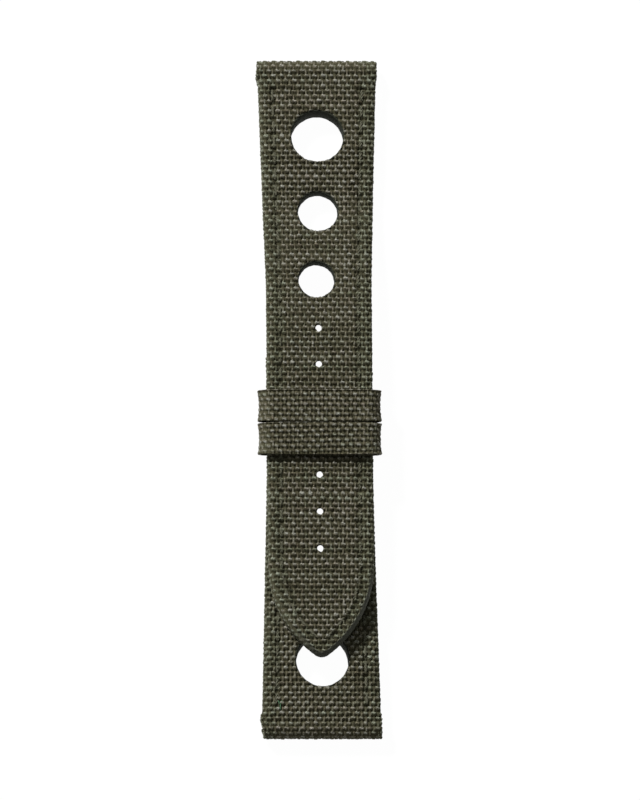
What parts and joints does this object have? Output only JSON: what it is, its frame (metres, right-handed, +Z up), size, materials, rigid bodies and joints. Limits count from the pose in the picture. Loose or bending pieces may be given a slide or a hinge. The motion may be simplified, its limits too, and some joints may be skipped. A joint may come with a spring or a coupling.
{
  "type": "watch strap",
  "caption": "Canvas rally watch strap with a padded pair of straps, large vent holes, a pointed tail threaded through a fixed and a free keeper, and bar channels.",
  "frame": {"origin": "on the supporting surface, under the middle of the whole laid-out strap", "axes": "+X across the strap, +Y along it towards the long strap's lug end, +Z up from the supporting surface"},
  "size_m": [0.022, 0.129, 0.0087],
  "materials": {
    "canvas": "coarse plain-weave canvas, olive grey",
    "padding": "felt filler",
    "tape": "woven reinforcing tape",
    "lining": "smooth matt leather",
    "thread": "twisted polyester thread",
    "edge_paint": "satin edge paint"
  },
  "bodies": {
    "short_strap": {"short_cover": "canvas", "short_padding": "padding", "short_tape": "tape", "short_lining": "lining", "short_needle_thread": "thread", "short_bobbin_thread": "thread", "short_hole_edging": "edge_paint", "fixed_keeper_cover": "canvas", "fixed_keeper_lining": "lining", "fixed_keeper_tacks": "thread"},
    "long_strap": {"long_cover": "canvas", "long_padding": "padding", "long_tape": "tape", "long_lining": "lining", "long_needle_thread": "thread", "long_bobbin_thread": "thread", "long_hole_edging": "edge_paint"},
    "free_keeper": {"free_keeper_cover": "canvas", "free_keeper_lining": "lining", "free_keeper_joint_thread": "thread"}
  },
  "joints": [
    {"name": "long_strap_slide", "type": "slide", "parent": "short_strap", "child": "long_strap", "axis": [0, 1, 0], "range_m": [0, 0.054]},
    {"name": "free_keeper_slide", "type": "slide", "parent": "short_strap", "child": "free_keeper", "axis": [0, -1, 0], "range_m": [0, 0.009]}
  ]
}
